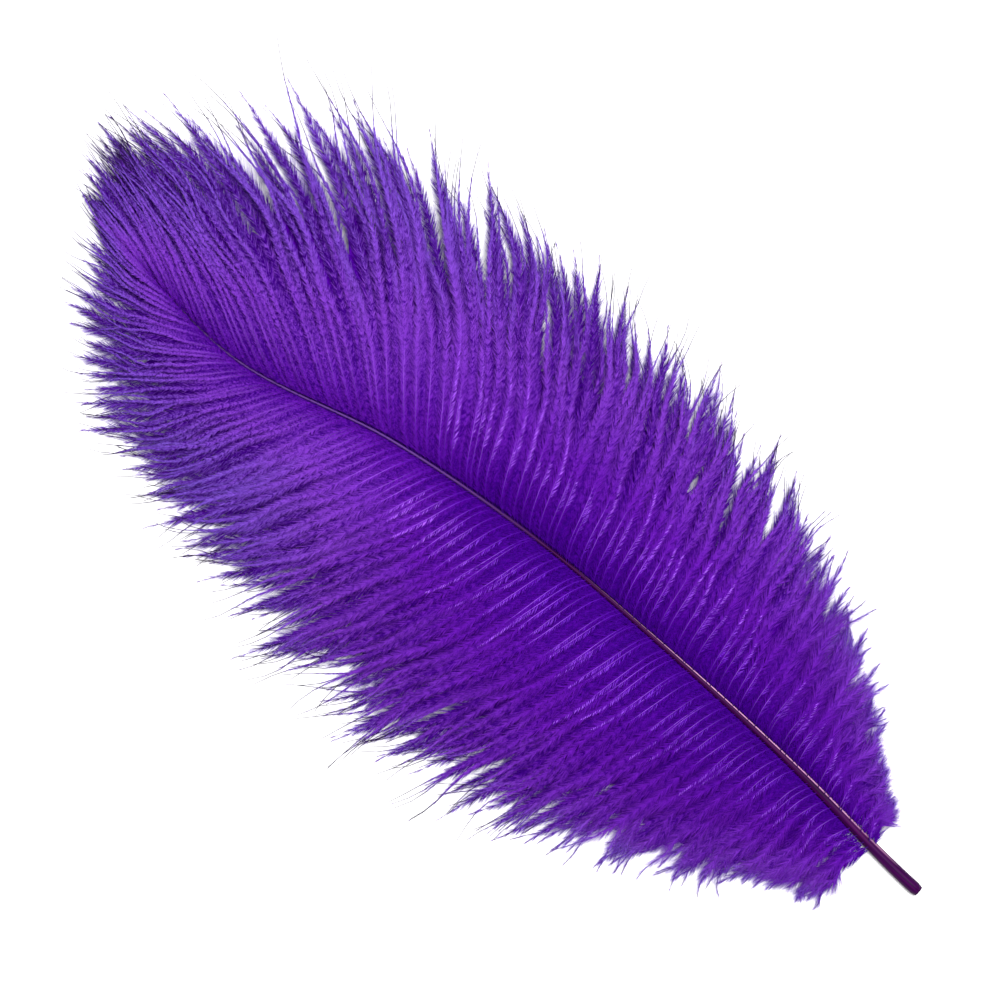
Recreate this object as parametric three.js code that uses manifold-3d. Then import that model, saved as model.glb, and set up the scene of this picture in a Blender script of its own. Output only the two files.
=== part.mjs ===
// A dyed ostrich plume lying on a table: a tapering shaft with a vane of soft locks on each side.
// Millimetres. +X runs from the cut end of the quill to the head of the plume, +Y to the left vane, +Z up.
import * as THREE from "three";
import { mergeVertices } from "three/addons/utils/BufferGeometryUtils.js";
import Module from "manifold-3d";

const wasm = await Module();
wasm.setup();

// The shaft, given at even steps from the cut end to its tip.
const SHAFT_LENGTH = 270;
const SHAFT_SWAY = [0, -5.3, -8.7, -10.2, -7, 1.6, -3.6];
const SHAFT_HEIGHT = [1.8, 3.4, 5.4, 7, 7, 5.4, 2.4];
const SHAFT_WIDTH = [3.4, 2.2, 1.55, 1, 0.75, 0.6, 0.4];
const SHAFT_DEPTH_RATIO = 1.1;
const SHAFT_STEPS = 32;
const SHAFT_SIDES = 10;
const QUILL_CHAMFER = 0.5;

// Where along the shaft the first and the last locks grow, and the gap that keeps them off it.
const VANE_START = 15.5;
const VANE_END = 262;
const ROOT_GAP = 0.3;
const BAND_BOTTOM = -20;
const BAND_TOP = 40;

// Each vane, given at even steps from its first lock to its last: how long the locks are, the angle
// from the shaft at which they leave it, and the angle to which they have swept forward at their tips.
const LEFT = {
  name: "left_vane",
  turn: 1,
  phase: 0.2,
  length: [17, 54, 77, 78, 65, 47, 22],
  leave: [92, 84, 82, 76, 62, 42, 6],
  sweep: [96, 74, 60, 50, 36, 18, -18],
};
const RIGHT = {
  name: "right_vane",
  turn: -1,
  phase: 0.65,
  length: [10, 42, 59, 73, 93, 71, 31],
  leave: [88, 88, 86, 80, 64, 48, 38],
  sweep: [86, 78, 62, 48, 40, 29, 26],
};

// The locks of one vane, and how far their lengths stray from the vane's own.
const LOCKS = 29;
const LOCK_STRAY = 0.07;
const LOCK_STEPS = 7;
const LOCK_SIDES = 4;

// One lock from root to tip: its width as a share of the room between its neighbours, and its depth.
const LOCK_FILL = [1.4, 1.42, 1.4, 1.36, 1.2, 0.3];
const LOCK_LEAST_ROOM = 2.6;
const LOCK_DEPTH = [1.4, 3, 3.6, 3.2, 2.2, 1];

// A lock rises beside the shaft to a soft crest, then droops until its tip lies on the table.
const PUFF = [2, 4.5, 6, 6.5, 6, 4, 1.5];
const RISE_SHARE = 0.1;
const DROOP_FROM = 0.22;
const DROOP_TO = 0.94;
const TIP_HEIGHT = 0.3;

const HORN = new THREE.MeshStandardMaterial({ color: 0x3a1838, roughness: 0.45, metalness: 0 });
const PLUME = new THREE.MeshStandardMaterial({ color: 0x5e23a0, roughness: 0.8, metalness: 0 });

const GOLDEN_SHARE = 0.618034;
const UP = new THREE.Vector3(0, 0, 1);

// A smooth value along 0..1 through numbers given at even steps.
function along(values) {
  const curve = new THREE.SplineCurve(values.map((value, i) => new THREE.Vector2(i, value)));
  return (t) => curve.getPoint(THREE.MathUtils.clamp(t, 0, 1)).y;
}

const sway = along(SHAFT_SWAY);
const height = along(SHAFT_HEIGHT);
const width = along(SHAFT_WIDTH);
const puff = along(PUFF);
const fill = along(LOCK_FILL);
const depth = along(LOCK_DEPTH);

function shaftAt(u) {
  return new THREE.Vector3(SHAFT_LENGTH * u, sway(u), height(u));
}

function shaftHeading(u) {
  const step = 0.001;
  const run = shaftAt(Math.min(u + step, 1)).sub(shaftAt(Math.max(u - step, 0)));
  return run.normalize();
}

// A closed body through rings of points, each ring turning the same way about the line of travel.
function bodyThrough(rings) {
  const sides = rings[0].length;
  const points = rings.flat();
  const faces = [];
  for (let r = 0; r + 1 < rings.length; r++) {
    for (let k = 0; k < sides; k++) {
      const a = r * sides + k;
      const b = r * sides + ((k + 1) % sides);
      faces.push(a, b, b + sides);
      faces.push(a, b + sides, a + sides);
    }
  }
  const last = (rings.length - 1) * sides;
  for (let k = 1; k + 1 < sides; k++) {
    faces.push(0, k + 1, k);
    faces.push(last, last + k, last + k + 1);
  }
  return solid(points, faces);
}

function solid(points, faces) {
  const vertProperties = new Float32Array(points.flatMap((p) => p.toArray()));
  return new wasm.Manifold(
    new wasm.Mesh({ numProp: 3, vertProperties, triVerts: new Uint32Array(faces) }),
  );
}

// An oval ring round a point of the shaft, grown by a margin.
function shaftRing(u, shrink, margin) {
  const centre = shaftAt(u);
  const ahead = shaftHeading(u);
  const left = new THREE.Vector3().crossVectors(UP, ahead).normalize();
  const above = new THREE.Vector3().crossVectors(ahead, left);
  const ring = [];
  for (let k = 0; k < SHAFT_SIDES; k++) {
    const turn = (2 * Math.PI * k) / SHAFT_SIDES;
    const across = (width(u) / 2 - shrink + margin) * Math.cos(turn);
    const over = ((SHAFT_DEPTH_RATIO * width(u)) / 2 - shrink + margin) * Math.sin(turn);
    ring.push(centre.clone().addScaledVector(left, across).addScaledVector(above, over));
  }
  return ring;
}

// The shaft, its cut end eased by a small chamfer.
function shaftBody(margin) {
  const rings = [shaftRing(0, margin ? 0 : QUILL_CHAMFER, margin)];
  rings.push(shaftRing(QUILL_CHAMFER / SHAFT_LENGTH, 0, margin));
  for (let i = 1; i <= SHAFT_STEPS; i++) {
    rings.push(shaftRing(i / SHAFT_STEPS, 0, margin));
  }
  return bodyThrough(rings);
}

// An upright band over the shaft and beyond its tip, on the side where a vane does not grow.
function farSide(vane) {
  const reach = 1.2;
  const breadth = 15;
  const rings = [];
  for (let i = 0; i <= SHAFT_STEPS; i++) {
    const u = (reach * i) / SHAFT_STEPS;
    const ahead = shaftHeading(Math.min(u, 1));
    const own = new THREE.Vector3().crossVectors(UP, ahead).setZ(0).normalize();
    const centre = shaftAt(Math.min(u, 1)).addScaledVector(ahead, Math.max(u - 1, 0) * SHAFT_LENGTH);
    const edges = [vane.turn * (ROOT_GAP / 2), -vane.turn * breadth];
    const [right, left] = edges
      .sort((a, b) => a - b)
      .map((offset) => centre.clone().addScaledVector(own, offset));
    rings.push([
      right.clone().setZ(BAND_BOTTOM),
      left.clone().setZ(BAND_BOTTOM),
      left.clone().setZ(BAND_TOP),
      right.clone().setZ(BAND_TOP),
    ]);
  }
  return bodyThrough(rings);
}

// The line that a lock follows from the shaft to its tip.
function lockLine(vane, s, stray) {
  const u = (VANE_START + (VANE_END - VANE_START) * THREE.MathUtils.clamp(s, 0, 1)) / SHAFT_LENGTH;
  const root = shaftAt(u);
  const ahead = shaftHeading(u);
  const heading = Math.atan2(ahead.y, ahead.x);
  const length = along(vane.length)(s) * (1 + stray);
  const leave = along(vane.leave)(s);
  const sweep = along(vane.sweep)(s);
  const line = [];
  const spot = root.clone();
  for (let i = 0; i <= LOCK_STEPS; i++) {
    const t = i / LOCK_STEPS;
    const rise = 1 - Math.exp(-t / RISE_SHARE);
    const droop = THREE.MathUtils.smoothstep(t, DROOP_FROM, DROOP_TO);
    const crest = root.z + puff(s) * rise;
    spot.z = THREE.MathUtils.lerp(crest, TIP_HEIGHT, droop);
    line.push(spot.clone());
    const bend = leave + (sweep - leave) * (t + 0.5 / LOCK_STEPS);
    const angle = heading + vane.turn * THREE.MathUtils.degToRad(bend);
    spot.x += (Math.cos(angle) * length) / LOCK_STEPS;
    spot.y += (Math.sin(angle) * length) / LOCK_STEPS;
  }
  return line;
}

// One lock: a soft blade about its line, as wide as the room its neighbours leave it.
function lockBody(vane, index) {
  const s = (index + 0.5) / LOCKS;
  const stray = LOCK_STRAY * (2 * ((index * GOLDEN_SHARE + vane.phase) % 1) - 1);
  const line = lockLine(vane, s, stray);
  const before = lockLine(vane, s - 1 / LOCKS, stray);
  const after = lockLine(vane, s + 1 / LOCKS, stray);
  const rings = line.map((spot, i) => {
    const t = i / LOCK_STEPS;
    const ahead = line[Math.min(i + 1, LOCK_STEPS)].clone().sub(line[Math.max(i - 1, 0)]).normalize();
    const left = new THREE.Vector3().crossVectors(UP, ahead).normalize();
    const above = new THREE.Vector3().crossVectors(ahead, left);
    const room = Math.abs(after[i].clone().sub(before[i]).dot(left)) / 2;
    const wide = Math.max(room, LOCK_LEAST_ROOM) * fill(t);
    const ring = [];
    for (let k = 0; k < LOCK_SIDES; k++) {
      const turn = (2 * Math.PI * k) / LOCK_SIDES;
      const across = (wide / 2) * Math.cos(turn);
      const over = (depth(t) / 2) * Math.sin(turn);
      ring.push(spot.clone().addScaledVector(left, across).addScaledVector(above, over));
    }
    return ring;
  });
  return bodyThrough(rings);
}

// The table's room, which flattens the undersides of the lock tips.
function tableBody() {
  const slab = new THREE.BoxGeometry(600, 400, 40);
  slab.translate(SHAFT_LENGTH / 2, 0, -20);
  slab.deleteAttribute("normal");
  slab.deleteAttribute("uv");
  const merged = mergeVertices(slab);
  return new wasm.Manifold(
    new wasm.Mesh({
      numProp: 3,
      vertProperties: merged.attributes.position.array,
      triVerts: new Uint32Array(merged.index.array),
    }),
  );
}

// A vane: its locks grown together at their roots, without the slivers that the cuts leave.
function vaneBody(vane, cutters) {
  let body = lockBody(vane, 0);
  for (let index = 1; index < LOCKS; index++) {
    body = body.add(lockBody(vane, index));
  }
  cutters.forEach((cutter) => {
    body = body.subtract(cutter);
  });
  return body.decompose().sort((a, b) => b.volume() - a.volume())[0];
}

function meshOf(body, name, material) {
  const { vertProperties, triVerts } = body.getMesh();
  const geometry = new THREE.BufferGeometry();
  geometry.setAttribute("position", new THREE.BufferAttribute(vertProperties, 3));
  geometry.setIndex(new THREE.BufferAttribute(triVerts, 1));
  geometry.computeVertexNormals();
  const mesh = new THREE.Mesh(geometry, material);
  mesh.name = name;
  return mesh;
}

const cleared = shaftBody(ROOT_GAP);
const table = tableBody();
const feather = new THREE.Group();
feather.add(meshOf(shaftBody(0), "shaft", HORN));
[LEFT, RIGHT].forEach((vane) => {
  feather.add(meshOf(vaneBody(vane, [cleared, farSide(vane), table]), vane.name, PLUME));
});

// The part's origin lies under the middle of the feather, on the table.
const extent = new THREE.Box3().setFromObject(feather);
const middle = extent.getCenter(new THREE.Vector3());
feather.position.set(-middle.x, -middle.y, -extent.min.z);

const part = new THREE.Group();
part.add(feather);
export default part;
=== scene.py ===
import math

import bpy
import numpy as np
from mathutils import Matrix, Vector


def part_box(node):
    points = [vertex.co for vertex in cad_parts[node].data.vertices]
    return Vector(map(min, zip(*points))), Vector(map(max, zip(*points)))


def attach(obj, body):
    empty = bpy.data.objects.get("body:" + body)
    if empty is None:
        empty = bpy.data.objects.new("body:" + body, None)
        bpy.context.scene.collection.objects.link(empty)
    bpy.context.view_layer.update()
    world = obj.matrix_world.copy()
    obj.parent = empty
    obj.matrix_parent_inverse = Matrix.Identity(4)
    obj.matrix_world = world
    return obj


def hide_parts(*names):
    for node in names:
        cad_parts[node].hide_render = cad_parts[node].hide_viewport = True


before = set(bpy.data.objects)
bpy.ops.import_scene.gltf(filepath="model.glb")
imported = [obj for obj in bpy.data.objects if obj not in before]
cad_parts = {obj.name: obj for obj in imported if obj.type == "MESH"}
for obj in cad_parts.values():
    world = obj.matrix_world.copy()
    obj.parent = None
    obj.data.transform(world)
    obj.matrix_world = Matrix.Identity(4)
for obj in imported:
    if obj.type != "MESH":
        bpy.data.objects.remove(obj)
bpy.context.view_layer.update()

mm = 0.001
dice = np.random.default_rng(41)


def toLinear(hexColour):
    # sRGB hex to the linear colour that a shader socket takes
    parts = [int(hexColour[i:i + 2], 16) / 255 for i in (1, 3, 5)]
    return [c / 12.92 if c <= 0.04045 else ((c + 0.055) / 1.055) ** 2.4 for c in parts] + [1.0]


def addNode(tree, kind, settings=None, links=None):
    # settings go to the node's attributes, input sockets or ramp stops; links feed its inputs
    node = tree.nodes.new(kind)
    for key, value in (settings or {}).items():
        if key == "stops":
            ramp = node.color_ramp.elements
            ramp[0].position, ramp[0].color = value[0][0], toLinear(value[0][1])
            ramp[1].position, ramp[1].color = value[-1][0], toLinear(value[-1][1])
            for place, colour in value[1:-1]:
                ramp.new(place).color = toLinear(colour)
        elif isinstance(key, str) and hasattr(node, key):
            setattr(node, key, value)
        else:
            node.inputs[key].default_value = value
    for key, source in (links or {}).items():
        tree.links.new(source, node.inputs[key])
    return node


def along(values, t):
    # smooth value at 0..1 through numbers given at even steps
    v = np.asarray(values, float)
    last = len(v) - 1
    f = np.clip(np.asarray(t, float), 0, 1) * last
    i = np.minimum(f.astype(int), last - 1)
    w = f - i
    a, b, c, d = v[np.maximum(i - 1, 0)], v[i], v[i + 1], v[np.minimum(i + 2, last)]
    p, q = (c - a) / 2, (d - b) / 2
    return (2 * b - 2 * c + p + q) * w ** 3 + (3 * c - 3 * b - 2 * p - q) * w ** 2 + p * w + b


def smoothRamp(t, low, high):
    x = np.clip((t - low) / (high - low), 0, 1)
    return x * x * (3 - 2 * x)


def unit(v):
    return v / np.maximum(np.linalg.norm(v, axis=-1, keepdims=True), 1e-9)


# the shaft, in millimetres from the cut end; every barb is measured from it
shaft = {
    "length": 270.0,
    "sway": [0, -5.3, -8.7, -10.2, -7, 1.6, -3.6],          # sideways bow at even steps
    "height": [1.8, 3.4, 5.4, 7, 7, 5.4, 2.4],
    "width": [3.4, 2.2, 1.55, 1, 0.75, 0.6, 0.4],
    "seenWidth": [3.4, 2.2, 1.5, 0.9, 0.6, 0.48, 0.32],     # barb roots close over its edges further up
    "depthRatio": 1.1,
    "flatBelow": 0.92,                                      # share of the depth on its underside
    "rings": 180,
    "sides": 22,
    "rimEase": 0.16, "rimReach": 0.5,                       # share of the width lost at the rim, and its mm
    "rimWall": 0.28,                                        # share of the half width that the wall takes
    "cupDepth": 0.9,
    "tipReach": 0.3,
    "vaneFrom": 15.5,
    "vaneTo": 262.0,
}


def shaftPoint(u):
    u = np.asarray(u, float)
    return np.stack([shaft["length"] * u, along(shaft["sway"], u), along(shaft["height"], u)], -1)


def shaftAhead(u):
    u = np.asarray(u, float)
    step = 0.001
    return unit(shaftPoint(np.minimum(u + step, 1)) - shaftPoint(np.maximum(u - step, 0)))


def shaftShare(s):
    # place on the shaft, 0..1, of a barb that grows at s of its vane
    return (shaft["vaneFrom"] + (shaft["vaneTo"] - shaft["vaneFrom"]) * np.clip(s, 0, 1)) / shaft["length"]


# the frame's origin lies under the middle of the feather, so shaft millimetres are shifted into it
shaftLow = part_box("shaft")[0]
evenly = np.linspace(0, 1, 400)
lowestSide = np.min(along(shaft["sway"], evenly) - along(shaft["width"], evenly) / 2)
shift = np.array([shaftLow[0] / mm, shaftLow[1] / mm - lowestSide, 0.0])


def toFrame(points):
    return (points + shift) * mm


def makePiece(name, layers, node):
    # layers: (points in shaft millimetres, triangles, uv, finish), joined into one mesh
    counts = np.cumsum([0] + [len(layer[0]) for layer in layers])
    points = np.concatenate([layer[0] for layer in layers])
    faces = np.concatenate([layer[1] + start for layer, start in zip(layers, counts)])
    uv = np.concatenate([layer[2] for layer in layers])
    kinds = np.concatenate([np.full(len(layer[1]), k) for k, layer in enumerate(layers)])
    mesh = bpy.data.meshes.new(name)
    mesh.vertices.add(len(points))
    mesh.vertices.foreach_set("co", toFrame(points).astype(np.float32).ravel())
    mesh.loops.add(faces.size)
    mesh.loops.foreach_set("vertex_index", faces.astype(np.int32).ravel())
    mesh.polygons.add(len(faces))
    mesh.polygons.foreach_set("loop_start", np.arange(0, faces.size, 3, dtype=np.int32))
    mesh.uv_layers.new(name="OFBake").uv.foreach_set("vector", uv[faces].astype(np.float32).ravel())
    for layer in layers:
        mesh.materials.append(layer[3])
    mesh.polygons.foreach_set("material_index", kinds.astype(np.int32))
    mesh.polygons.foreach_set("use_smooth", np.ones(len(faces), bool))
    mesh.update(calc_edges=True)
    piece = bpy.data.objects.new(name, mesh)
    bpy.context.scene.collection.objects.link(piece)
    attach(piece, "root")
    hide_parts(node)
    print(name, len(faces), "triangles")
    return piece


def pairUp(a, b, c, d):
    # two triangles for every four-sided patch
    return np.concatenate([np.stack([a, b, c], -1).reshape(-1, 3), np.stack([a, c, d], -1).reshape(-1, 3)])


def tube(rings):
    # triangles between the rings of an array [line, ring, corner], as indices into its points
    lines, count, corners = rings.shape[:3]
    index = np.arange(lines * count * corners).reshape(lines, count, corners)
    turned = np.roll(index, -1, 2)
    return pairUp(index[:, :-1], turned[:, :-1], turned[:, 1:], index[:, 1:])


def newFinish(name):
    finish = bpy.data.materials.new(name)
    finish.use_nodes = True
    finish.node_tree.nodes.clear()
    return finish, finish.node_tree


# strips of every vane's map, one for each finish on it
mapShares = {"down": (0.0, 0.62), "stem": (0.64, 0.8), "under": (0.82, 0.98)}
# barbules: keratin down, vat dyed. Soft and almost matt, and a little light comes through it.
# Barbs on top are painted lighter and deep ones darker, so crests are lighter and the valleys between them
# stay a full, dark purple: painted shade
downFinish = {
    # root to tip, for the barbs on top and for those that lie deepest; the root shades are partly dye and
    # partly painted shade beside the shaft
    "shades": [(0.0, "#44028c"), (0.08, "#4e0394"), (0.2, "#6618aa"), (0.4, "#803cc0"),
               (0.6, "#804dc6"), (0.82, "#7e5acb"), (0.93, "#6a38a2"), (1.0, "#3c1c62")],
    # the deepest barbs' shades are painted shade, darker than the top ones, and paler at the tips as painted
    # light from the white card under the fringe
    "paintedDeepShades": [(0.0, "#340078"), (0.3, "#3a007e"), (0.6, "#3c007c"), (0.8, "#581a96"), (1.0, "#7c4cb2")],
    "paintedShadeRange": (-0.35, 1.2),     # painted shade, from the barbs on top to the deepest
    "strandSpread": 2.0,            # how much that differs from strand to strand
    "grain": (0.4, 0.6),            # the part of the noise's range that is used
    "grainDetail": 2.0,
    "barbLength": 65.0,             # mm that the length of the map stands for
    "strandWidth": 0.6,             # mm, drawn at the width of a strand: one barbule is too fine to show
    "strandsAcross": 900.0,
    "roughness": 0.6,
    "ior": 1.54,
    "specular": 0.02,
    "lightThrough": 0.3,
}
# down that lies under the surface: the same dye, painted darker as painted shade for what lies over it
underFinish = {
    "shades": [(0.0, "#3a007c"), (0.4, "#400084"), (1.0, "#480488")],
    "roughness": 0.9,
    "ior": 1.54,
    "specular": 0.0,
    "strip": "under",
    "paintedShadeRange": (1.0, 1.0),
}
# the stem of a barb: firmer keratin with a smooth skin; its thin light line is a painted highlight in its
# shades, lighter on top barbs and darker on deep ones as painted shade
stemFinish = {
    "shades": [(0.0, "#48088e"), (0.07, "#5616a0"), (0.2, "#8e4ccc"), (0.42, "#7436b6"), (0.6, "#4e1690"),
               (0.8, "#380f60"), (1.0, "#1a0630")],
    "roughness": 0.55,
    "ior": 1.55,
    "specular": 0.06,
    "strip": "stem",
    # painted light on the stems of top barbs, painted shade on deep ones
    "paintedShadeRange": (1.2, 0.35),
}
# fine grain of the stems and of the down under the surface
keratinGrain = {"range": (0.3, 0.7), "speck": (0.7, 1.2), "detail": 3.0}
# the quill: solid dyed horn, scraped smooth, so it is dark and streaked lengthwise; its narrow gloss is a
# painted highlight along the right-hand ridge
hornFinish = {
    "shades": [(0.3, "#180220"), (0.5, "#2e0238"), (0.75, "#440446")],
    "streaks": (40.0, 18.0, 1.0),   # round the quill and along it
    "streakDetail": 4.0,
    # painted highlight on the ridge on its right-hand side, round the quill and along it
    "highlightBand": [(0.34, "#000000"), (0.37, "#ffffff"), (0.41, "#ffffff"), (0.44, "#000000")],
    "highlightRun": [(0.03, "#000000"), (0.1, "#d0d0d0"), (0.28, "#e8e8e8"), (0.38, "#808080"), (0.46, "#000000")],
    "highlightShade": "#f0b0dc",         # painted highlight along the ridge
    "upper": [(0.48, "#000000"), (0.66, "#c4c4c4")],
    "upperShade": "#6c4698",        # thin horn near the tip lets more of the pale core show
    "roughness": 0.4,
    "ior": 1.55,
    "specular": 0.03,
}


def mapRange(source, target):
    return {"From Min": source[0], "From Max": source[1], "To Min": target[0], "To Max": target[1]}


def skinOf(look):
    return {"Roughness": look["roughness"], "IOR": look["ior"], "Specular IOR Level": look["specular"]}


def downDyeAndShade():
    finish, tree = newFinish("dyed_ostrich_down_painted_shade")
    place = addNode(tree, "ShaderNodeUVMap", {"uv_map": "OFBake"})
    apart = addNode(tree, "ShaderNodeSeparateXYZ", links={"Vector": place.outputs["UV"]})
    reached = {"Fac": apart.outputs["Y"]}
    topShade = addNode(tree, "ShaderNodeValToRGB", {"stops": downFinish["shades"]}, reached)
    paintedDeepShade = addNode(tree, "ShaderNodeValToRGB", {"stops": downFinish["paintedDeepShades"]}, reached)
    spread = (downFinish["strandsAcross"], downFinish["barbLength"] / downFinish["strandWidth"], 1.0)
    strands = addNode(tree, "ShaderNodeMapping", {"Scale": spread}, {"Vector": place.outputs["UV"]})
    grain = addNode(tree, "ShaderNodeTexNoise", {"Scale": 1.0, "Detail": downFinish["grainDetail"]},
                    {"Vector": strands.outputs["Vector"]})
    half = downFinish["strandSpread"] / 2
    strand = addNode(tree, "ShaderNodeMapRange", mapRange(downFinish["grain"], (-half, half)),
                     {"Value": grain.outputs["Fac"]})
    # painted shade: deep columns mix towards the darker shades, top ones towards the lighter
    depth = addNode(tree, "ShaderNodeMapRange", mapRange(mapShares["down"], downFinish["paintedShadeRange"]),
                    {"Value": apart.outputs["X"]})
    paintedShade = addNode(tree, "ShaderNodeMath", {"operation": "ADD", "use_clamp": True},
                       {0: strand.outputs["Result"], 1: depth.outputs["Result"]})
    colour = addNode(tree, "ShaderNodeMix", {"data_type": "RGBA"},
                     {0: paintedShade.outputs[0], 6: topShade.outputs["Color"], 7: paintedDeepShade.outputs["Color"]})
    skin = addNode(tree, "ShaderNodeBsdfPrincipled", skinOf(downFinish), {"Base Color": colour.outputs[2]})
    through = addNode(tree, "ShaderNodeBsdfTranslucent", links={"Color": colour.outputs[2]})
    both = addNode(tree, "ShaderNodeMixShader", {0: downFinish["lightThrough"]},
                   {1: skin.outputs[0], 2: through.outputs[0]})
    addNode(tree, "ShaderNodeOutputMaterial", links={"Surface": both.outputs[0]})
    return finish


def keratinDyeAndShade(name, look):
    # shaded along the barb, with a fine grain, and painted shade by the depth of the barb's column
    finish, tree = newFinish(name)
    place = addNode(tree, "ShaderNodeUVMap", {"uv_map": "OFBake"})
    apart = addNode(tree, "ShaderNodeSeparateXYZ", links={"Vector": place.outputs["UV"]})
    shade = addNode(tree, "ShaderNodeValToRGB", {"stops": look["shades"]}, {"Fac": apart.outputs["Y"]})
    spread = (downFinish["strandsAcross"], downFinish["barbLength"], 1.0)
    strands = addNode(tree, "ShaderNodeMapping", {"Scale": spread}, {"Vector": place.outputs["UV"]})
    grain = addNode(tree, "ShaderNodeTexNoise", {"Scale": 1.0, "Detail": keratinGrain["detail"]},
                    {"Vector": strands.outputs["Vector"]})
    speck = addNode(tree, "ShaderNodeMapRange", mapRange(keratinGrain["range"], keratinGrain["speck"]),
                    {"Value": grain.outputs["Fac"]})
    depth = addNode(tree, "ShaderNodeMapRange", mapRange(mapShares[look["strip"]], look["paintedShadeRange"]),
                    {"Value": apart.outputs["X"]})
    grainAndPaintedShade = addNode(tree, "ShaderNodeMath", {"operation": "MULTIPLY"},
                        {0: speck.outputs["Result"], 1: depth.outputs["Result"]})
    colour = addNode(tree, "ShaderNodeMix", {"data_type": "RGBA", "blend_type": "MULTIPLY", 0: 1.0},
                     {6: shade.outputs["Color"], 7: grainAndPaintedShade.outputs[0]})
    skin = addNode(tree, "ShaderNodeBsdfPrincipled", skinOf(look), {"Base Color": colour.outputs[2]})
    addNode(tree, "ShaderNodeOutputMaterial", links={"Surface": skin.outputs[0]})
    return finish


def hornDyeAndHighlight():
    finish, tree = newFinish("dyed_quill_horn_painted_highlight")
    place = addNode(tree, "ShaderNodeUVMap", {"uv_map": "OFBake"})
    stretch = addNode(tree, "ShaderNodeMapping", {"Scale": hornFinish["streaks"]},
                      {"Vector": place.outputs["UV"]})
    streak = addNode(tree, "ShaderNodeTexNoise", {"Scale": 1.0, "Detail": hornFinish["streakDetail"]},
                     {"Vector": stretch.outputs["Vector"]})
    shade = addNode(tree, "ShaderNodeValToRGB", {"stops": hornFinish["shades"]},
                    {"Fac": streak.outputs["Fac"]})
    apart = addNode(tree, "ShaderNodeSeparateXYZ", links={"Vector": place.outputs["UV"]})
    highlightBand = addNode(tree, "ShaderNodeValToRGB", {"stops": hornFinish["highlightBand"]}, {"Fac": apart.outputs["X"]})
    run = addNode(tree, "ShaderNodeValToRGB", {"stops": hornFinish["highlightRun"]}, {"Fac": apart.outputs["Y"]})
    highlightMask = addNode(tree, "ShaderNodeMath", {"operation": "MULTIPLY"},
                     {0: highlightBand.outputs["Color"], 1: run.outputs["Color"]})
    highlighted = addNode(tree, "ShaderNodeMix", {"data_type": "RGBA", 7: toLinear(hornFinish["highlightShade"])},
                   {0: highlightMask.outputs[0], 6: shade.outputs["Color"]})
    upper = addNode(tree, "ShaderNodeValToRGB", {"stops": hornFinish["upper"]}, {"Fac": apart.outputs["Y"]})
    colour = addNode(tree, "ShaderNodeMix", {"data_type": "RGBA", 7: toLinear(hornFinish["upperShade"])},
                     {0: upper.outputs["Color"], 6: highlighted.outputs[2]})
    skin = addNode(tree, "ShaderNodeBsdfPrincipled", skinOf(hornFinish), {"Base Color": colour.outputs[2]})
    addNode(tree, "ShaderNodeOutputMaterial", links={"Surface": skin.outputs[0]})
    return finish


down = downDyeAndShade()
underDown = keratinDyeAndShade("under_down_painted_shade", underFinish)
stem = keratinDyeAndShade("dyed_barb_stem_painted_light", stemFinish)
horn = hornDyeAndHighlight()
print("finishes made")


def buildShaft():
    u = np.linspace(0, 1, shaft["rings"])
    centre, ahead = shaftPoint(u), shaftAhead(u)
    left = unit(np.cross([0, 0, 1.0], ahead))
    above = np.cross(ahead, left)
    turn = np.linspace(0, 2 * np.pi, shaft["sides"], endpoint=False)
    half = along(shaft["seenWidth"], u)[:, None] / 2
    half = half * (1 - shaft["rimEase"] * np.exp(-u * shaft["length"] / shaft["rimReach"]))[:, None]
    across = half * np.cos(turn)
    over = half * shaft["depthRatio"] * np.sin(turn) * np.where(np.sin(turn) < 0, shaft["flatBelow"], 1.0)
    rings = centre[:, None] + across[..., None] * left[:, None] + over[..., None] * above[:, None]
    faces = tube(rings[None])
    uv = np.stack(np.broadcast_arrays(turn[None] / (2 * np.pi), u[:, None]), -1).reshape(-1, 2)
    points = rings.reshape(-1, 3)
    # the cut end is a shallow cup, the tip a point
    k = shaft["sides"]
    base = len(points)
    rim = points[:k] * (1 - shaft["rimWall"]) + centre[0] * shaft["rimWall"]
    cup = centre[0] + ahead[0] * shaft["cupDepth"]
    points = np.concatenate([points, rim, [cup, centre[-1] + ahead[-1] * shaft["tipReach"]]])
    uv = np.concatenate([uv, uv[:k], [[0.5, 0.0], [0.5, 1.0]]])
    outer, inner, lastRing = np.arange(k), base + np.arange(k), base - k + np.arange(k)
    nextOuter, nextInner, nextLast = np.roll(outer, -1), np.roll(inner, -1), np.roll(lastRing, -1)
    faces = np.concatenate([
        faces,
        np.stack([outer, inner, nextInner], -1),
        np.stack([outer, nextInner, nextOuter], -1),
        np.stack([inner, np.full(k, base + k), nextInner], -1),
        np.stack([lastRing, nextLast, np.full(k, base + k + 1)], -1),
    ])
    return makePiece("quillAndRachis", [(points, faces, uv, horn)], "shaft")


buildShaft()
print("shaft built")

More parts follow.
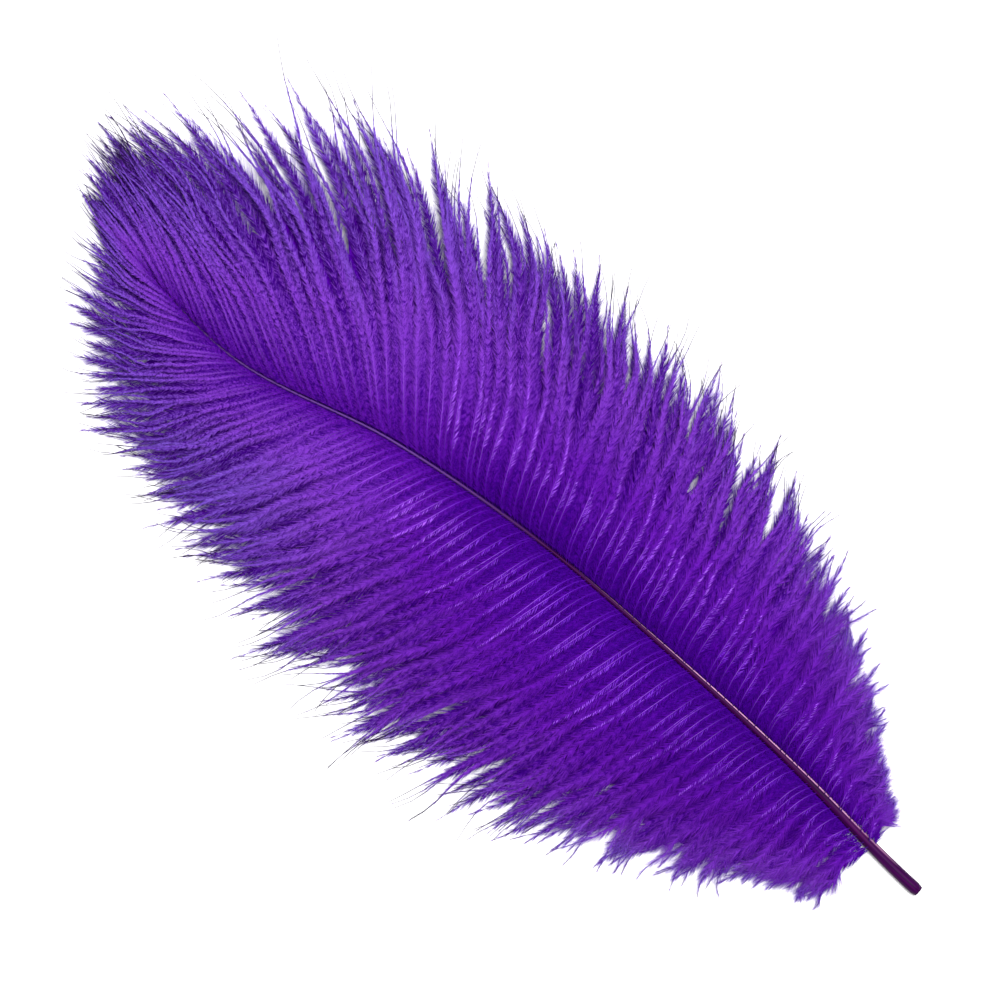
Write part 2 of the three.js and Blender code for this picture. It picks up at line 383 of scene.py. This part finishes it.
# each vane at even steps from its first barb to its last: lengths in mm, and the angles from the
# shaft at which the barbs leave it and to which they have swept forward at their tips
vanes = {
    "left": {
        "turn": 1, "phase": 0.2, "node": "left_vane",
        "length": [21, 56, 76, 75, 63, 46, 23],
        "leave": [92, 84, 82, 76, 62, 42, 6],
        "sweep": [96, 74, 60, 50, 36, 18, -18],
        "stemDusk": [0.5, 0.45, 0.15, 0.25, 0.35, 0.35],            # least darkness of the stems
        "shadeRun": [0.55, 0.42, 0.42, 0.52, 0.9, 0.9, 0.9],        # share of the root-to-tip shades in use
    },
    "right": {
        "turn": -1, "phase": 0.65, "node": "right_vane",
        "length": [11, 26, 43, 54, 62, 68, 74, 85, 97, 91, 69, 48, 21],
        "leave": [88, 88, 86, 80, 62, 42, 14],
        "sweep": [86, 78, 62, 46, 30, 10, -6],
        "stemDusk": [0.6, 0.5, 0.4, 0.4, 0.4, 0.4],
        "shadeRun": [0.6, 0.5, 0.55, 0.7, 0.9, 0.85, 0.85],
    },
}
# three meshes a vane; the last one ends past every barb
zones = (("Lower", 0.0, 0.38), ("Middle", 0.38, 0.66), ("Head", 0.66, 1.01))
# barbs: how they leave the shaft, rise beside it, droop to the table and cling in tufts.
# A list runs from root to tip; a pair named Over is the stretch in which a change comes in
barbs = {
    "perSide": 372,
    "rootStray": 0.35,                       # share of the spacing by which a root is off its even place
    "steps": 22,
    "easeIn": 1.25,                          # steps crowd towards the root
    "kick": 42.0, "kickShare": 0.55,         # degrees that a root leans to the tip, and share of its angle
    "kickReach": 4.0,                        # mm until it has turned out
    "puff": [2, 4.5, 6, 6.5, 6, 4, 1.5],     # mm that barbs rise above the shaft, quill to head
    "riseShare": 0.1,
    "droopOver": (0.22, 1.0),
    "tipHeight": 2.2, "lowest": 0.3,
    "locks": 29, "lockStray": 0.035,         # barbs of a lock share their stray in length
    "lockStep": 0.618034,                    # golden share, so that no two locks in a row are alike
    "tuft": 2.2,                             # barbs that cling together, on average
    "tuftPull": [0, 0.05, 0.28, 0.34, 0.26, 0.16],
    "tuftStray": 0.035, "ownStray": 0.045,   # share by which their lengths stray
    "tuftTurn": 2.5, "ownTurn": 3.0,         # degrees that they stray from the vane's sweep
    "longShare": 0.22, "longBy": 0.09,       # some barbs outgrow the rest
    "longRange": (0.3, 1), "longest": 0.1,   # by part of that, and no barb by more than the last number
    "curl": 15.0, "curlOver": (0.6, 1.0),    # degrees that a tip turns aside
    "ownCurl": 0.3, "lowCurl": 0.3,          # share that a barb adds to its tuft's, and share for low ones
    "calm": 0.75, "calmOver": (0.62, 0.9),   # share of the curl that goes towards the head
    "waver": 1.3, "waverOver": (0.12, 0.7),  # mm that a tuft weaves from side to side
    "lowWaver": 0.2, "ownWaver": 0.3, "waverTurns": (1.3, 1.8),
    "still": 0.85, "stillOver": (0.8, 0.96),                    # share of the waver that goes at the head
    "layer": [0.1, 0.4, 0.8, 0.9, 0.6, 0.3],                    # mm that barbs lie over each other
    "layerShares": (0.7, 0.35), "layerTurns": (0.8, 1.2),       # for tufts and for single barbs
    "group": 4, "lowPlace": 1, "proudPlaces": [0, 2, 3],        # of four barbs one lies under and one on top
    "lowBy": 1.0, "lowOver": (0.15, 0.5),    # mm that low barbs lie under the others
    "lowShort": 0.01, "lowTurn": 0.7,        # share by which they are shorter, and degrees of their stray
    "proudBy": [0.7, 0.9, 1.3, 1.4, 0.9, 0.2], "proudOver": (0.0, 0.06),    # mm that top barbs stand out
    "proudDepth": 0.8, "depthStray": 0.5,    # order of the columns of the map, from top to deepest, which sets their painted shade
}
barbSteps = np.linspace(0, 1, barbs["steps"] + 1) ** barbs["easeIn"]
# two waves, the second shorter and weaker
waves = {"pace": (0.7, 1.3), "paces": (1.0, 2.1), "size": (0.5, 1.0), "sizes": (1.0, 0.45)}


def barbLines(vane, s, stray, turnBy, curl):
    # lines of many barbs at once, [barb, step, xyz]
    u = shaftShare(s)
    root, ahead = shaftPoint(u), shaftAhead(u)
    heading = np.arctan2(ahead[:, 1], ahead[:, 0])[:, None]
    length = (along(vane["length"], s) * (1 + stray))[:, None]
    leave, sweep = along(vane["leave"], s)[:, None], (along(vane["sweep"], s) + turnBy)[:, None]
    middle = ((barbSteps[1:] + barbSteps[:-1]) / 2)[None]
    kick = np.minimum(barbs["kick"], barbs["kickShare"] * leave)
    kick = kick * np.exp(-middle * length / barbs["kickReach"])
    aside = curl[:, None] * smoothRamp(middle, *barbs["curlOver"])
    angle = heading + vane["turn"] * np.radians(leave + (sweep - leave) * middle - kick + aside)
    stride = np.diff(barbSteps)[None] * length
    start = np.zeros((len(s), 1))
    x = np.concatenate([start, np.cumsum(np.cos(angle) * stride, 1)], 1)
    y = np.concatenate([start, np.cumsum(np.sin(angle) * stride, 1)], 1)
    rise = 1 - np.exp(-barbSteps / barbs["riseShare"])
    droop = smoothRamp(barbSteps, *barbs["droopOver"])
    crest = root[:, 2:3] + along(barbs["puff"], s)[:, None] * rise[None]
    z = crest * (1 - droop) + barbs["tipHeight"] * droop
    return np.stack([root[:, 0:1] + x, root[:, 1:2] + y, z], -1)


def wander(count, turns):
    # smooth random drift along each line, one row a line
    phase = dice.uniform(0, 2 * np.pi, (2, count, 1))
    pace = turns * dice.uniform(*waves["pace"], (2, count, 1)) * np.array(waves["paces"])[:, None, None]
    size = dice.uniform(*waves["size"], (2, count, 1)) * np.array(waves["sizes"])[:, None, None]
    return (size * np.sin(2 * np.pi * pace * barbSteps + phase)).sum(0)


def growBarbs(vane):
    n = barbs["perSide"]
    order = np.arange(n)
    s = (order + 0.5 + dice.uniform(-barbs["rootStray"], barbs["rootStray"], n)) / n
    group = barbs["group"]
    low = order % group == barbs["lowPlace"]
    proud = order % group == dice.choice(barbs["proudPlaces"], n // group + 1)[order // group]
    lock = np.minimum((s * barbs["locks"]).astype(int), barbs["locks"] - 1)
    stray = barbs["lockStray"] * (2 * ((lock * barbs["lockStep"] + vane["phase"]) % 1) - 1)
    tuft = np.cumsum((dice.uniform(0, 1, n) < 1 / barbs["tuft"]) & ~low)
    tufts = tuft.max() + 1
    tuftS = np.bincount(tuft, s, tufts) / np.maximum(np.bincount(tuft, minlength=tufts), 1)
    tuftTurn = dice.normal(0, barbs["tuftTurn"], tufts)
    stray += np.where(low, -barbs["lowShort"], dice.normal(0, barbs["tuftStray"], tufts)[tuft])
    stray += dice.normal(0, barbs["ownStray"], n)
    longer = ~low & (dice.uniform(0, 1, n) < barbs["longShare"])
    stray += np.where(longer, barbs["longBy"], 0) * dice.uniform(*barbs["longRange"], n)
    stray = np.minimum(stray, barbs["longest"])
    curl = dice.normal(0, barbs["curl"], tufts)[tuft] * np.where(low, barbs["lowCurl"], 1.0)
    curl = curl + dice.normal(0, barbs["ownCurl"] * barbs["curl"], n)
    curl = curl * (1 - barbs["calm"] * smoothRamp(s, *barbs["calmOver"]))
    lowTurn = barbs["lowTurn"] * dice.normal(0, 1, n)
    turnBy = np.where(low, lowTurn, tuftTurn[tuft] + barbs["ownTurn"] * dice.normal(0, 1, n))
    own = barbLines(vane, s, stray, turnBy, curl)
    together = barbLines(vane, tuftS[tuft], stray, tuftTurn[tuft], curl)
    upper = np.where(low, 0.0, 1.0)[:, None]
    pull = along(barbs["tuftPull"], barbSteps)[None] * upper
    lines = own + (together - own) * pull[..., None]
    side = unit(np.cross(unit(np.gradient(lines, axis=1)), [0, 0, 1.0]))
    tuftTurns, ownTurns = barbs["waverTurns"]
    drift = (upper + barbs["lowWaver"]) * wander(tufts, tuftTurns)[tuft]
    drift = drift + barbs["ownWaver"] * wander(n, ownTurns)
    drift = drift * (1 - barbs["still"] * smoothRamp(s, *barbs["stillOver"]))[:, None]
    lines = lines + side * (barbs["waver"] * drift * smoothRamp(barbSteps, *barbs["waverOver"]))[..., None]
    layer = along(barbs["layer"], barbSteps)[None]
    tuftShare, ownShare = barbs["layerShares"]
    tuftTurns, ownTurns = barbs["layerTurns"]
    heap = tuftShare * upper * wander(tufts, tuftTurns)[tuft] + ownShare * wander(n, ownTurns)
    lines[..., 2] += layer * heap
    lines[..., 2] -= (1 - upper) * barbs["lowBy"] * smoothRamp(barbSteps, *barbs["lowOver"])
    rise = along(barbs["proudBy"], barbSteps) * smoothRamp(barbSteps, *barbs["proudOver"])
    lines[..., 2] += np.where(proud, 1.0, 0.0)[:, None] * rise
    lines[..., 2] = np.maximum(lines[..., 2], barbs["lowest"])
    return {"s": s, "lines": lines, "proud": proud, "low": low}


def mapPlace(strip, column, lane, v):
    # place on the map: a strip for the finish, a column for the barb, a lane in it, and the way along it
    low, high = mapShares[strip]
    u = low + (high - low) * np.clip(column + lane, 0, 1)
    return np.stack(np.broadcast_arrays(u, v), -1).reshape(-1, 2)


# down under the surface: one soft sheet from the shaft to the fringe that closes the vane, a dark sheet of
# painted shade
under = {
    "from": 0.03,                            # share of the vane at which it starts
    "rows": 60, "across": 16,
    "to": (0.48, 0.66),                      # share of the barbs' length that its uneven edge reaches
    "downyMore": 0.16, "downyOver": (0.1, 0.3),     # further out beside the quill
    "drop": [1.0, 1.1, 2.0, 3.0, 4.0, 4.0],  # mm under the barbs, root to tip
    "lowest": 0.15,
}


def buildUnder(vane, low, high):
    rows = np.linspace(max(low, under["from"]), min(high, 1.0), under["rows"])
    still = np.zeros(len(rows))
    sheet = barbLines(vane, rows, still, still, still)
    far = under["across"]
    ends = dice.uniform(*under["to"], len(rows))
    ends[[0, -1]] = np.mean(under["to"])
    ends = ends + under["downyMore"] * (1 - smoothRamp(rows, *under["downyOver"]))
    reached = np.linspace(0, 1, far) * ends[:, None]
    sheet = [[np.interp(r, barbSteps, axis) for axis in line.T] for r, line in zip(reached, sheet)]
    sheet = np.stack(sheet).swapaxes(1, 2)
    sheet[..., 2] = np.maximum(sheet[..., 2] - along(under["drop"], reached), under["lowest"])
    index = np.arange(len(rows) * far).reshape(len(rows), far)
    faces = pairUp(index[:-1, :-1], index[1:, :-1], index[1:, 1:], index[:-1, 1:])
    uv = mapPlace("under", np.linspace(0, 1, len(rows))[:, None], 0.0, reached)
    return sheet.reshape(-1, 3), faces, uv, underDown


# stems of the barbs: three-sided, with one edge up
stems = {
    "width": [0.24, 0.26, 0.22, 0.2, 0.26, 0.14], "lowWidth": 0.5,
    "ridge": 1.3,                            # height of the upper edge, in half widths
    "sink": [0, 0, 0.3, 0.5, 0.2, 0.0],      # mm that the stem lies under the fluff
    "plainSink": 0.3, "plainOver": (0.3, 0.6),      # more beside the shaft, where a barb is not on top
    "headDusk": 0.6, "headOver": (0.55, 0.75),      # darker stems towards the head
    "duskStray": 0.35,
    "headTips": 0.25, "tipsOver": (0.75, 0.92),     # share of the map left out there, so tips stay lighter
    "lane": 0.35,
}


def growStems(vane, barb):
    lines, above, side, s = barb["lines"], barb["above"], barb["side"], barb["s"]
    thinner = np.where(barb["low"], stems["lowWidth"], 1.0)[:, None, None]
    half = along(stems["width"], barbSteps)[None, :, None] * thinner / 2
    beside = 1 - smoothRamp(barbSteps, *stems["plainOver"])
    plain = np.where(barb["proud"], 0.0, stems["plainSink"])[:, None]
    sink = along(stems["sink"], barbSteps)[None] + plain * beside
    core = lines - above * sink[..., None]
    lowLeft, lowRight = core - above * half - side * half, core - above * half + side * half
    rings = np.stack([core + above * half * stems["ridge"], lowLeft, lowRight], 2)
    lane = np.array([0.0, -stems["lane"], stems["lane"]]) / len(lines)
    # stems take their barb's painted shade from its column, pushed deeper towards the head
    column = np.maximum(barb["column"], stems["headDusk"] * smoothRamp(s, *stems["headOver"]))
    column = np.maximum(column, along(vane["stemDusk"], s))
    column = np.minimum(column + dice.uniform(0, stems["duskStray"], len(column)), 1.0)
    run = barbSteps[None] * (1 - stems["headTips"] * smoothRamp(s, *stems["tipsOver"]))[:, None]
    uv = mapPlace("stem", column[:, None, None], lane[None, None], run[..., None])
    return rings.reshape(-1, 3), tube(rings), uv, stem


# barbules, drawn a little thicker and fewer than the real ones so that they show; root to tip of the barb.
# Those of top barbs and of low barbs have lists of their own; those near the quill are as fluffy as low ones
barbules = {
    "length": [1.8, 2.8, 3.4, 3.4, 2.4, 0.8],
    "topLength": [1.8, 2.6, 3.0, 2.7, 1.8, 0.6],
    "lowLength": [1.8, 3.2, 4.8, 5.4, 5.0, 1.6],
    "strandReach": 0.16, "reachLimits": (0.6, 1.4), "ownReach": (0.7, 1.15),
    "headFine": 0.6,                         # share by which they are shorter at the head
    "fineOver": (0.6, 0.85), "lowFineOver": (0.84, 0.97),
    "lean": [34, 31, 24, 19, 12, 5],         # degrees off the barb
    "topLean": [34, 32, 29, 24, 13, 5],
    "lowLean": [34, 31, 26, 26, 24, 9],
    "strandLean": 5.0, "ownLean": 6.0, "tipNeat": 0.4,      # degrees of stray, and share less at the tip
    "roll": -14.0, "topRoll": 24.0,          # degrees out of the vane, and more on the open side of top barbs
    "looseRoll": -12.0, "looseOver": (0.22, 0.55),
    "strandRoll": (8.0, 14.0), "ownRoll": (6.0, 16.0),      # degrees of stray, and more where they hang loose
    "rollLimits": (-80, 60),
    "strand": 0.6, "spareStrands": 4,        # mm of barb whose barbules cling in one strand
    "cling": [0.8, 0.7, 0.4, 0.3],           # how far a strand has closed at its tips
    "fewest": 8, "ends": (0.003, 0.99),
    "thin": 0.98, "thinOver": (0.7, 0.92),   # share missing at the very tip
    "lowThin": 0.9, "downyThin": 0.5,        # the same on low barbs, and share less near the quill
    "downyOver": (0.12, 0.3), "downyNarrow": 0.35,
    "rootClear": 1.0, "clearShare": 0.3,     # mm of bare stem beside the shaft, and share of it at the quill
    "clearOver": (0.35, 0.6),
    "taperOver": (0.55, 0.95),
    "facing": 0.5,                           # how much their flat sides turn to all ways
    "tipShare": 0.97, "tipBend": 0.06,       # tips bend along the barb and down
    "kiteMiddle": 0.45, "kiteGather": 0.4,
    "lowest": 0.05,
    "strandLane": 0.1, "ownLane": 0.35, "laneLimit": 0.45, "laneHalf": 0.06,
    "mapRise": 0.016,                        # way along the map from the root of a barbule to its tip
    "lowMap": 0.88,                          # the map of a low barb stops short of the dark tips
    "tipsOver": (0.68, 1.0),                 # where the shades run on to those of the tip
    "headTips": 0.6, "headTipsOver": (0.75, 0.92),          # share by which they do so less at the head
    "rootLight": 0.15, "lightOver": (0.46, 0.72),           # further up the feather roots are lighter
}
# the finest barbules, and broader ones that close a strand
fineHair = {
    "spacing": 0.21, "width": 0.1, "lowWider": 2.0, "taper": 0.2, "stray": 1.0,
    "lowThinOver": (0.78, 0.98), "kite": False,
}
strandBlade = {
    "spacing": 0.19, "width": 0.23, "lowWider": 1.0, "taper": 0.4, "stray": 0.6,
    "lowThinOver": (0.7, 0.95), "kite": False,
}
# light strokes on the side of a top barb that faces the quill, where it comes clear of its neighbours; their
# lightness is a painted highlight from the stem's shades
hatchStroke = {
    "spacing": 0.7, "width": 0.26, "lowWider": 1.0, "taper": 0.0, "stray": 0.3,
    "lowThinOver": (0.78, 0.98), "kite": True,
    "from": (0.07, 0.18), "run": (0.06, 0.32), "until": 0.6,
    "length": 2.6, "wane": 0.6, "start": 0.6, "startOver": (0, 0.2),
    "lean": 36.0, "leanStray": 4.0, "roll": 10.0, "rollStray": 5.0,
}


def hairRoots(vane, barb, kind):
    # which barb each barbule grows from, on which hand, and at what share of its length
    length = barb["length"]
    count = np.maximum((length / kind["spacing"]).astype(int), barbules["fewest"])
    who = np.repeat(np.arange(len(length)), 2 * count)
    order = np.arange(len(who)) - np.repeat(np.cumsum(2 * count) - 2 * count, 2 * count)
    hand = np.where(order % 2 == 0, 1.0, -1.0)
    at = (order // 2 + 0.5 + kind["stray"] * dice.uniform(-0.5, 0.5, len(who))) / count[who]
    at = np.clip(at, *barbules["ends"])
    s = barb["s"][who]
    downy = 1 - smoothRamp(s, *barbules["downyOver"])
    lowThin = barbules["lowThin"] * smoothRamp(at, *kind["lowThinOver"])
    thin = np.where(barb["low"][who], lowThin, barbules["thin"] * smoothRamp(at, *barbules["thinOver"]))
    kept = dice.uniform(0, 1, len(who)) > thin * (1 - barbules["downyThin"] * downy)
    clearShare = barbules["clearShare"]
    clear = barbules["rootClear"] * (clearShare + (1 - clearShare) * smoothRamp(s, *barbules["clearOver"]))
    kept = kept & (at * length[who] > along(shaft["seenWidth"], shaftShare(s)) / 2 + clear)
    if kind is hatchStroke:
        kept = kept & (at > barb["hatchFrom"][who]) & (at < barb["hatchTo"][who])
        kept = kept & barb["proud"][who] & (s < hatchStroke["until"]) & (hand * vane["turn"] < 0)
    return who[kept], hand[kept], at[kept]


def growHairs(vane, barb, kind):
    # barbules of one kind along both sides of every barb
    steps, length = barbs["steps"], barb["length"]
    who, hand, at = hairRoots(vane, barb, kind)
    m = len(who)
    s, low, top = barb["s"][who], barb["low"][who], barb["proud"][who]
    f = at ** (1 / barbs["easeIn"]) * steps
    i = np.minimum(f.astype(int), steps - 1)
    w = (f - i)[:, None]
    fields = [barb[key] for key in ("lines", "ahead", "side", "above")]
    root, go, out, lift = [field[who, i] * (1 - w) + field[who, i + 1] * w for field in fields]
    # neighbours on one side of a barb cling in strands and share their lie
    way = at * length[who] / barbules["strand"]
    share = barb["share"][:, barb["strandStart"][who] + 2 * way.astype(int) + (hand > 0)]
    within = (way % 1 - 0.5)[:, None]
    jitter = kind["stray"] * dice.normal(0, 1, (2, m))
    # how far they roll out of the vane and lean off the barb
    loose = smoothRamp(at, *barbules["looseOver"])
    onTop = np.where(top & (hand * vane["turn"] < 0), 1.0, 0.0)
    roll = (barbules["roll"] + barbules["topRoll"] * onTop) * (1 - loose) + barbules["looseRoll"] * loose
    strandRoll, ownRoll = [a + b * loose for a, b in (barbules["strandRoll"], barbules["ownRoll"])]
    roll = roll + strandRoll * share[0] + ownRoll * jitter[0]
    if kind is hatchStroke:
        roll = hatchStroke["roll"] + hatchStroke["rollStray"] * share[0]
    roll = np.radians(np.clip(roll, *barbules["rollLimits"]))[:, None]
    downy = 1 - smoothRamp(s, *barbules["downyOver"])
    fluffy = np.maximum(downy, np.where(low, 1.0, 0.0))
    lean = np.where(top, along(barbules["topLean"], at), along(barbules["lean"], at))
    lean = lean * (1 - fluffy) + along(barbules["lowLean"], at) * fluffy
    strayed = barbules["strandLean"] * share[1] + barbules["ownLean"] * jitter[1]
    lean = np.radians(lean + strayed * (1 - barbules["tipNeat"] * at * (1 - fluffy)))[:, None]
    if kind is hatchStroke:
        lean = np.radians(hatchStroke["lean"] + hatchStroke["leanStray"] * share[1])[:, None]
    outward = out * hand[:, None] * np.cos(roll) + lift * np.sin(roll)
    aim = go * np.cos(lean) + outward * np.sin(lean)
    # how long and how broad they are, and which way they face
    reach = np.where(top, along(barbules["topLength"], at), along(barbules["length"], at))
    reach = reach * (1 - fluffy) + along(barbules["lowLength"], at) * fluffy
    fine = np.where(low, smoothRamp(s, *barbules["lowFineOver"]), smoothRamp(s, *barbules["fineOver"]))
    reach = reach * (1 - barbules["headFine"] * fine)
    reach = reach * np.clip(1 + barbules["strandReach"] * share[2], *barbules["reachLimits"])
    reach = (reach * dice.uniform(*barbules["ownReach"], m))[:, None]
    if kind is hatchStroke:
        done = (at - barb["hatchFrom"][who]) / (barb["hatchTo"][who] - barb["hatchFrom"][who])
        start = hatchStroke["start"]
        begun = start + (1 - start) * smoothRamp(done, *hatchStroke["startOver"])
        reach = (hatchStroke["length"] * (1 - hatchStroke["wane"] * done) * begun)[:, None]
    face = unit(np.cross(go, outward))
    face = face * np.where((face * lift).sum(1) < 0, -1.0, 1.0)[:, None]
    face = unit(face + barbules["facing"] * dice.normal(0, 1, (m, 3)))
    breadth = kind["width"] * (1 - kind["taper"] * smoothRamp(at, *barbules["taperOver"]))
    breadth = breadth * (1 - barbules["downyNarrow"] * downy) * np.where(low, kind["lowWider"], 1.0)
    flat = unit(np.cross(face, aim)) * (breadth / 2)[:, None]
    gather = go * (-within * barbules["strand"] * along(barbules["cling"], at)[:, None])
    tip = root + aim * reach * barbules["tipShare"] + go * barbules["tipBend"] * reach + gather
    tip[:, 2] -= barbules["tipBend"] * reach[:, 0]
    # one triangle each, or a slim kite for a light stroke
    laneHalf, mapRise = barbules["laneHalf"], barbules["mapRise"]
    if kind["kite"]:
        middle = root + aim * reach * barbules["kiteMiddle"] + gather * barbules["kiteGather"]
        hairs = np.stack([root, middle - flat, middle + flat, tip], 1)
        faces = (np.arange(m)[:, None, None] * 4 + np.array([[0, 1, 2], [2, 1, 3]])).reshape(-1, 3)
        lane, rises = np.array([0.0, -laneHalf, laneHalf, 0.0]), mapRise * np.array([0.0, 0.5, 0.5, 1.0])
    else:
        hairs = np.stack([root - flat, root + flat, tip], 1)
        faces = np.arange(3 * m).reshape(m, 3)
        lane, rises = np.array([-laneHalf, laneHalf, 0.0]), mapRise * np.array([0.0, 0.0, 1.0])
    hairs[..., 2] = np.maximum(hairs[..., 2], barbules["lowest"])
    aside = share[3] * barbules["strandLane"] + dice.uniform(-barbules["ownLane"], barbules["ownLane"], m)
    aside = np.clip(aside, -barbules["laneLimit"], barbules["laneLimit"])
    lane = (aside[:, None] + lane) / len(length)
    # the way along the map sets the shade
    outer = smoothRamp(at, *barbules["tipsOver"])
    outer = outer * (1 - barbules["headTips"] * smoothRamp(s, *barbules["headTipsOver"]))
    reached = at * (1 - (1 - barbules["lowMap"]) * fluffy)
    reached = reached * (along(vane["shadeRun"], s) * (1 - outer) + outer)
    reached = reached + barbules["rootLight"] * smoothRamp(s, *barbules["lightOver"]) * (1 - at)
    strip, finish = ("stem", stem) if kind is hatchStroke else ("down", down)
    uv = mapPlace(strip, barb["column"][who][:, None], lane, np.minimum(reached[:, None] + rises, 1.0))
    return hairs.reshape(-1, 3), faces, uv, finish


def buildBarbs(name, zone, low, high, grown):
    vane = vanes[name]
    chosen = (grown["s"] >= low) & (grown["s"] < high)
    barb = {key: values[chosen] for key, values in grown.items()}
    lines, n = barb["lines"], chosen.sum()
    barb["ahead"] = unit(np.gradient(lines, axis=1))
    barb["side"] = unit(np.cross(barb["ahead"], [0, 0, 1.0]))
    barb["above"] = np.cross(barb["side"], barb["ahead"])
    barb["length"] = np.linalg.norm(np.diff(lines, axis=1), axis=2).sum(1)
    strands = 2 * (barb["length"] / barbules["strand"]).astype(int) + barbules["spareStrands"]
    barb["strandStart"] = np.concatenate([[0], np.cumsum(strands)])
    barb["share"] = dice.normal(0, 1, (4, strands.sum()))       # stray in roll, lean, reach and lane
    # columns of the map run from the barbs on top to the deepest, which sets their painted shade
    depth = 1.0 * barb["low"] - barbs["proudDepth"] * barb["proud"] + dice.uniform(0, barbs["depthStray"], n)
    barb["column"] = (np.argsort(np.argsort(depth)) + 0.5) / n
    barb["hatchFrom"] = dice.uniform(*hatchStroke["from"], n)
    barb["hatchTo"] = barb["hatchFrom"] + dice.uniform(*hatchStroke["run"], n)
    layers = [growStems(vane, barb), buildUnder(vane, low, high)]
    layers += [growHairs(vane, barb, kind) for kind in (fineHair, strandBlade, hatchStroke)]
    return makePiece(name + "Vane" + zone, layers, vane["node"])


for name, vane in vanes.items():
    grown = growBarbs(vane)
    for zone, low, high in zones:
        buildBarbs(name, zone, low, high, grown)
print("vanes built")

# white card, one soft lamp from the picture's upper right, and a camera straight above
studio = {
    "card": "#f7f6f8", "cardHalf": 3.0, "cardRoughness": 0.9,
    "sky": 0.66,
    "lampPower": 38.0,
    "lampSize": 0.6,
    "lampPlace": (-0.05, -0.4, 1.5),
    "cameraHeight": 1.3,
    "frameWidth": 260.0,                     # mm of the table that the picture spans
    "frameCentre": (148.3, -12.3),           # mm along the shaft and to its left
    "pictureRight": (-0.7843, -0.6204),      # the picture's right-hand direction on the table
}


def buildStudio():
    scene = bpy.context.scene
    cardMesh = bpy.data.meshes.new("card")
    h = studio["cardHalf"]
    cardMesh.from_pydata([(-h, -h, 0), (h, -h, 0), (h, h, 0), (-h, h, 0)], [], [(0, 1, 2, 3)])
    card = bpy.data.objects.new("card", cardMesh)
    scene.collection.objects.link(card)
    finish, tree = newFinish("matt_white_card")
    skin = addNode(tree, "ShaderNodeBsdfPrincipled",
                   {"Base Color": toLinear(studio["card"]), "Roughness": studio["cardRoughness"]})
    addNode(tree, "ShaderNodeOutputMaterial", links={"Surface": skin.outputs[0]})
    cardMesh.materials.append(finish)
    world = bpy.data.worlds.new("studio")
    world.use_nodes = True
    sky = world.node_tree.nodes["Background"]
    sky.inputs["Color"].default_value = (1, 1, 1, 1)
    sky.inputs["Strength"].default_value = studio["sky"]
    scene.world = world
    lamp = bpy.data.lights.new("softbox", "AREA")
    lamp.size = studio["lampSize"]
    lamp.energy = studio["lampPower"]
    softbox = bpy.data.objects.new("softbox", lamp)
    softbox.location = studio["lampPlace"]
    softbox.rotation_euler = softbox.location.to_track_quat("Z", "Y").to_euler()
    scene.collection.objects.link(softbox)
    lens = bpy.data.cameras.new("above")
    lens.lens = lens.sensor_width * studio["cameraHeight"] / (studio["frameWidth"] * mm)
    camera = bpy.data.objects.new("above", lens)
    spot = toFrame(np.array([*studio["frameCentre"], 0.0]))
    camera.location = (spot[0], spot[1], studio["cameraHeight"])
    camera.rotation_euler = (0, 0, math.atan2(studio["pictureRight"][1], studio["pictureRight"][0]))
    scene.collection.objects.link(camera)
    scene.camera = camera
    scene.view_settings.view_transform = "Standard"


buildStudio()
print("studio ready")
